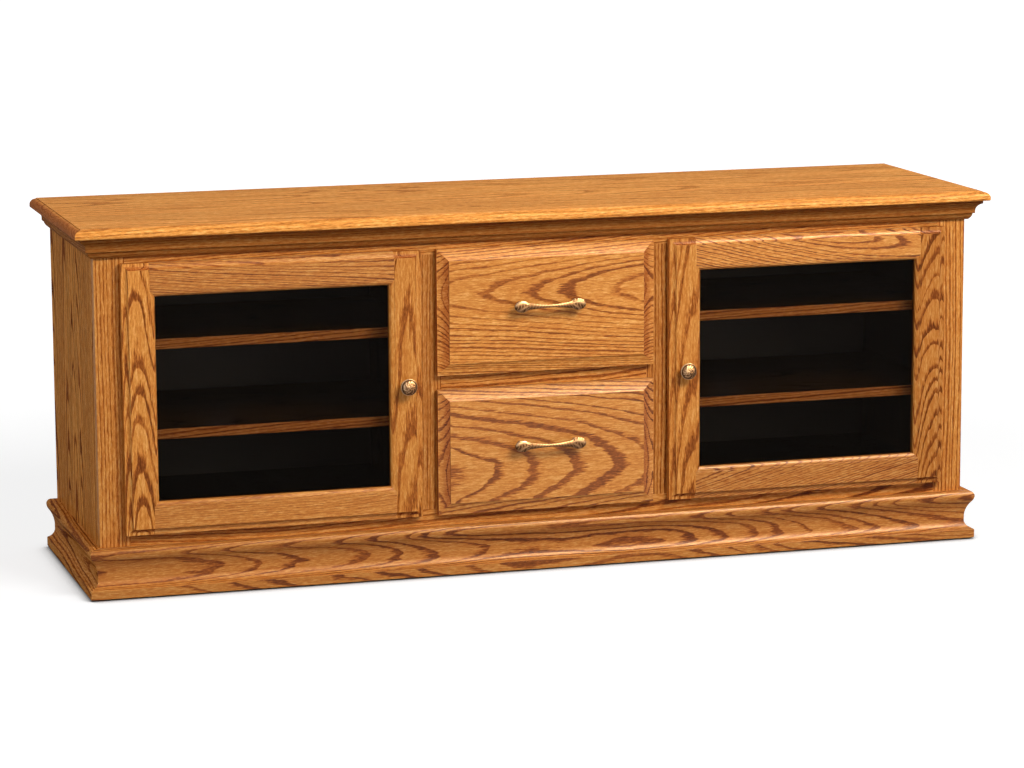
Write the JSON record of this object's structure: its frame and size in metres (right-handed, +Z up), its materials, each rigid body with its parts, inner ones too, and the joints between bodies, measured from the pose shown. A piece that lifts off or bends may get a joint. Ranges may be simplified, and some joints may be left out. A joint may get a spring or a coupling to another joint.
{
  "type": "tv console",
  "caption": "Low solid oak television console with a moulded top and base, a glazed door on each side and a column of drawers between them.",
  "frame": {"origin": "on the floor, in the middle of the whole footprint, pulls and knobs included", "axes": "+X to the right as seen from the front, +Y to the back, +Z up"},
  "size_m": [1.778, 0.5182, 0.686],
  "materials": {
    "oak": "medium stain, satin lacquer",
    "drawer_wood": "clear lacquer",
    "plywood": "stained veneer",
    "smoked_glass": "dark smoked, polished",
    "antique_brass": "antique, relieved high spots",
    "zinc_steel": "zinc plated",
    "glide_nylon": "matt"
  },
  "bodies": {
    "cabinet": {"tabletop": "oak", "crown_front": "oak", "crown_left": "oak", "crown_right": "oak", "left_side_panel": "oak", "right_side_panel": "oak", "left_partition": "oak", "right_partition": "oak", "bottom_panel": "oak", "top_stretchers": "oak", "left_end_stile": "oak", "right_end_stile": "oak", "left_inner_stile": "oak", "right_inner_stile": "oak", "frame_top_rail": "oak", "frame_bottom_rail": "oak", "frame_drawer_rail": "oak", "base_front": "oak", "base_left": "oak", "base_right": "oak", "base_back_rail": "oak", "left_upper_shelf": "oak", "left_lower_shelf": "oak", "right_upper_shelf": "oak", "right_lower_shelf": "oak", "back_panel": "plywood", "hinge_arms": "zinc_steel", "cabinet_slide_rails": "zinc_steel", "shelf_pins": "zinc_steel", "floor_glides": "glide_nylon"},
    "left_door": {"left_door_hinge_stile": "oak", "left_door_knob_stile": "oak", "left_door_top_rail": "oak", "left_door_bottom_rail": "oak", "left_door_glass_stops": "oak", "left_door_glass": "smoked_glass", "left_door_knob": "antique_brass", "left_door_hinge_cups": "zinc_steel"},
    "right_door": {"right_door_hinge_stile": "oak", "right_door_knob_stile": "oak", "right_door_top_rail": "oak", "right_door_bottom_rail": "oak", "right_door_glass_stops": "oak", "right_door_glass": "smoked_glass", "right_door_knob": "antique_brass", "right_door_hinge_cups": "zinc_steel"},
    "upper_drawer": {"upper_drawer_front": "oak", "upper_drawer_sides": "drawer_wood", "upper_drawer_ends": "drawer_wood", "upper_drawer_bottom": "plywood", "upper_drawer_pull": "antique_brass", "upper_drawer_rails": "zinc_steel"},
    "lower_drawer": {"lower_drawer_front": "oak", "lower_drawer_sides": "drawer_wood", "lower_drawer_ends": "drawer_wood", "lower_drawer_bottom": "plywood", "lower_drawer_pull": "antique_brass", "lower_drawer_rails": "zinc_steel"},
    "upper_slides": {"upper_slide_members": "zinc_steel"},
    "lower_slides": {"lower_slide_members": "zinc_steel"}
  },
  "joints": [
    {"name": "left_door_hinge", "type": "hinge", "parent": "cabinet", "child": "left_door", "pos_m": [-0.7974, -0.2215, 0.368], "axis": [0, 0, -1], "range_deg": [0, 100]},
    {"name": "right_door_hinge", "type": "hinge", "parent": "cabinet", "child": "right_door", "pos_m": [0.7974, -0.2215, 0.368], "axis": [0, 0, 1], "range_deg": [0, 100]},
    {"name": "upper_drawer_slide", "type": "slide", "parent": "cabinet", "child": "upper_drawer", "axis": [0, -1, 0], "range_m": [0, 0.38]},
    {"name": "upper_slide_run", "type": "slide", "parent": "cabinet", "child": "upper_slides", "axis": [0, -1, 0], "range_m": [0, 0.19]},
    {"name": "lower_drawer_slide", "type": "slide", "parent": "cabinet", "child": "lower_drawer", "axis": [0, -1, 0], "range_m": [0, 0.38]},
    {"name": "lower_slide_run", "type": "slide", "parent": "cabinet", "child": "lower_slides", "axis": [0, -1, 0], "range_m": [0, 0.19]}
  ],
  "couplings": [
    {"joint": "upper_slide_run", "follows": "upper_drawer_slide", "ratio": 0.5},
    {"joint": "lower_slide_run", "follows": "lower_drawer_slide", "ratio": 0.5}
  ]
}
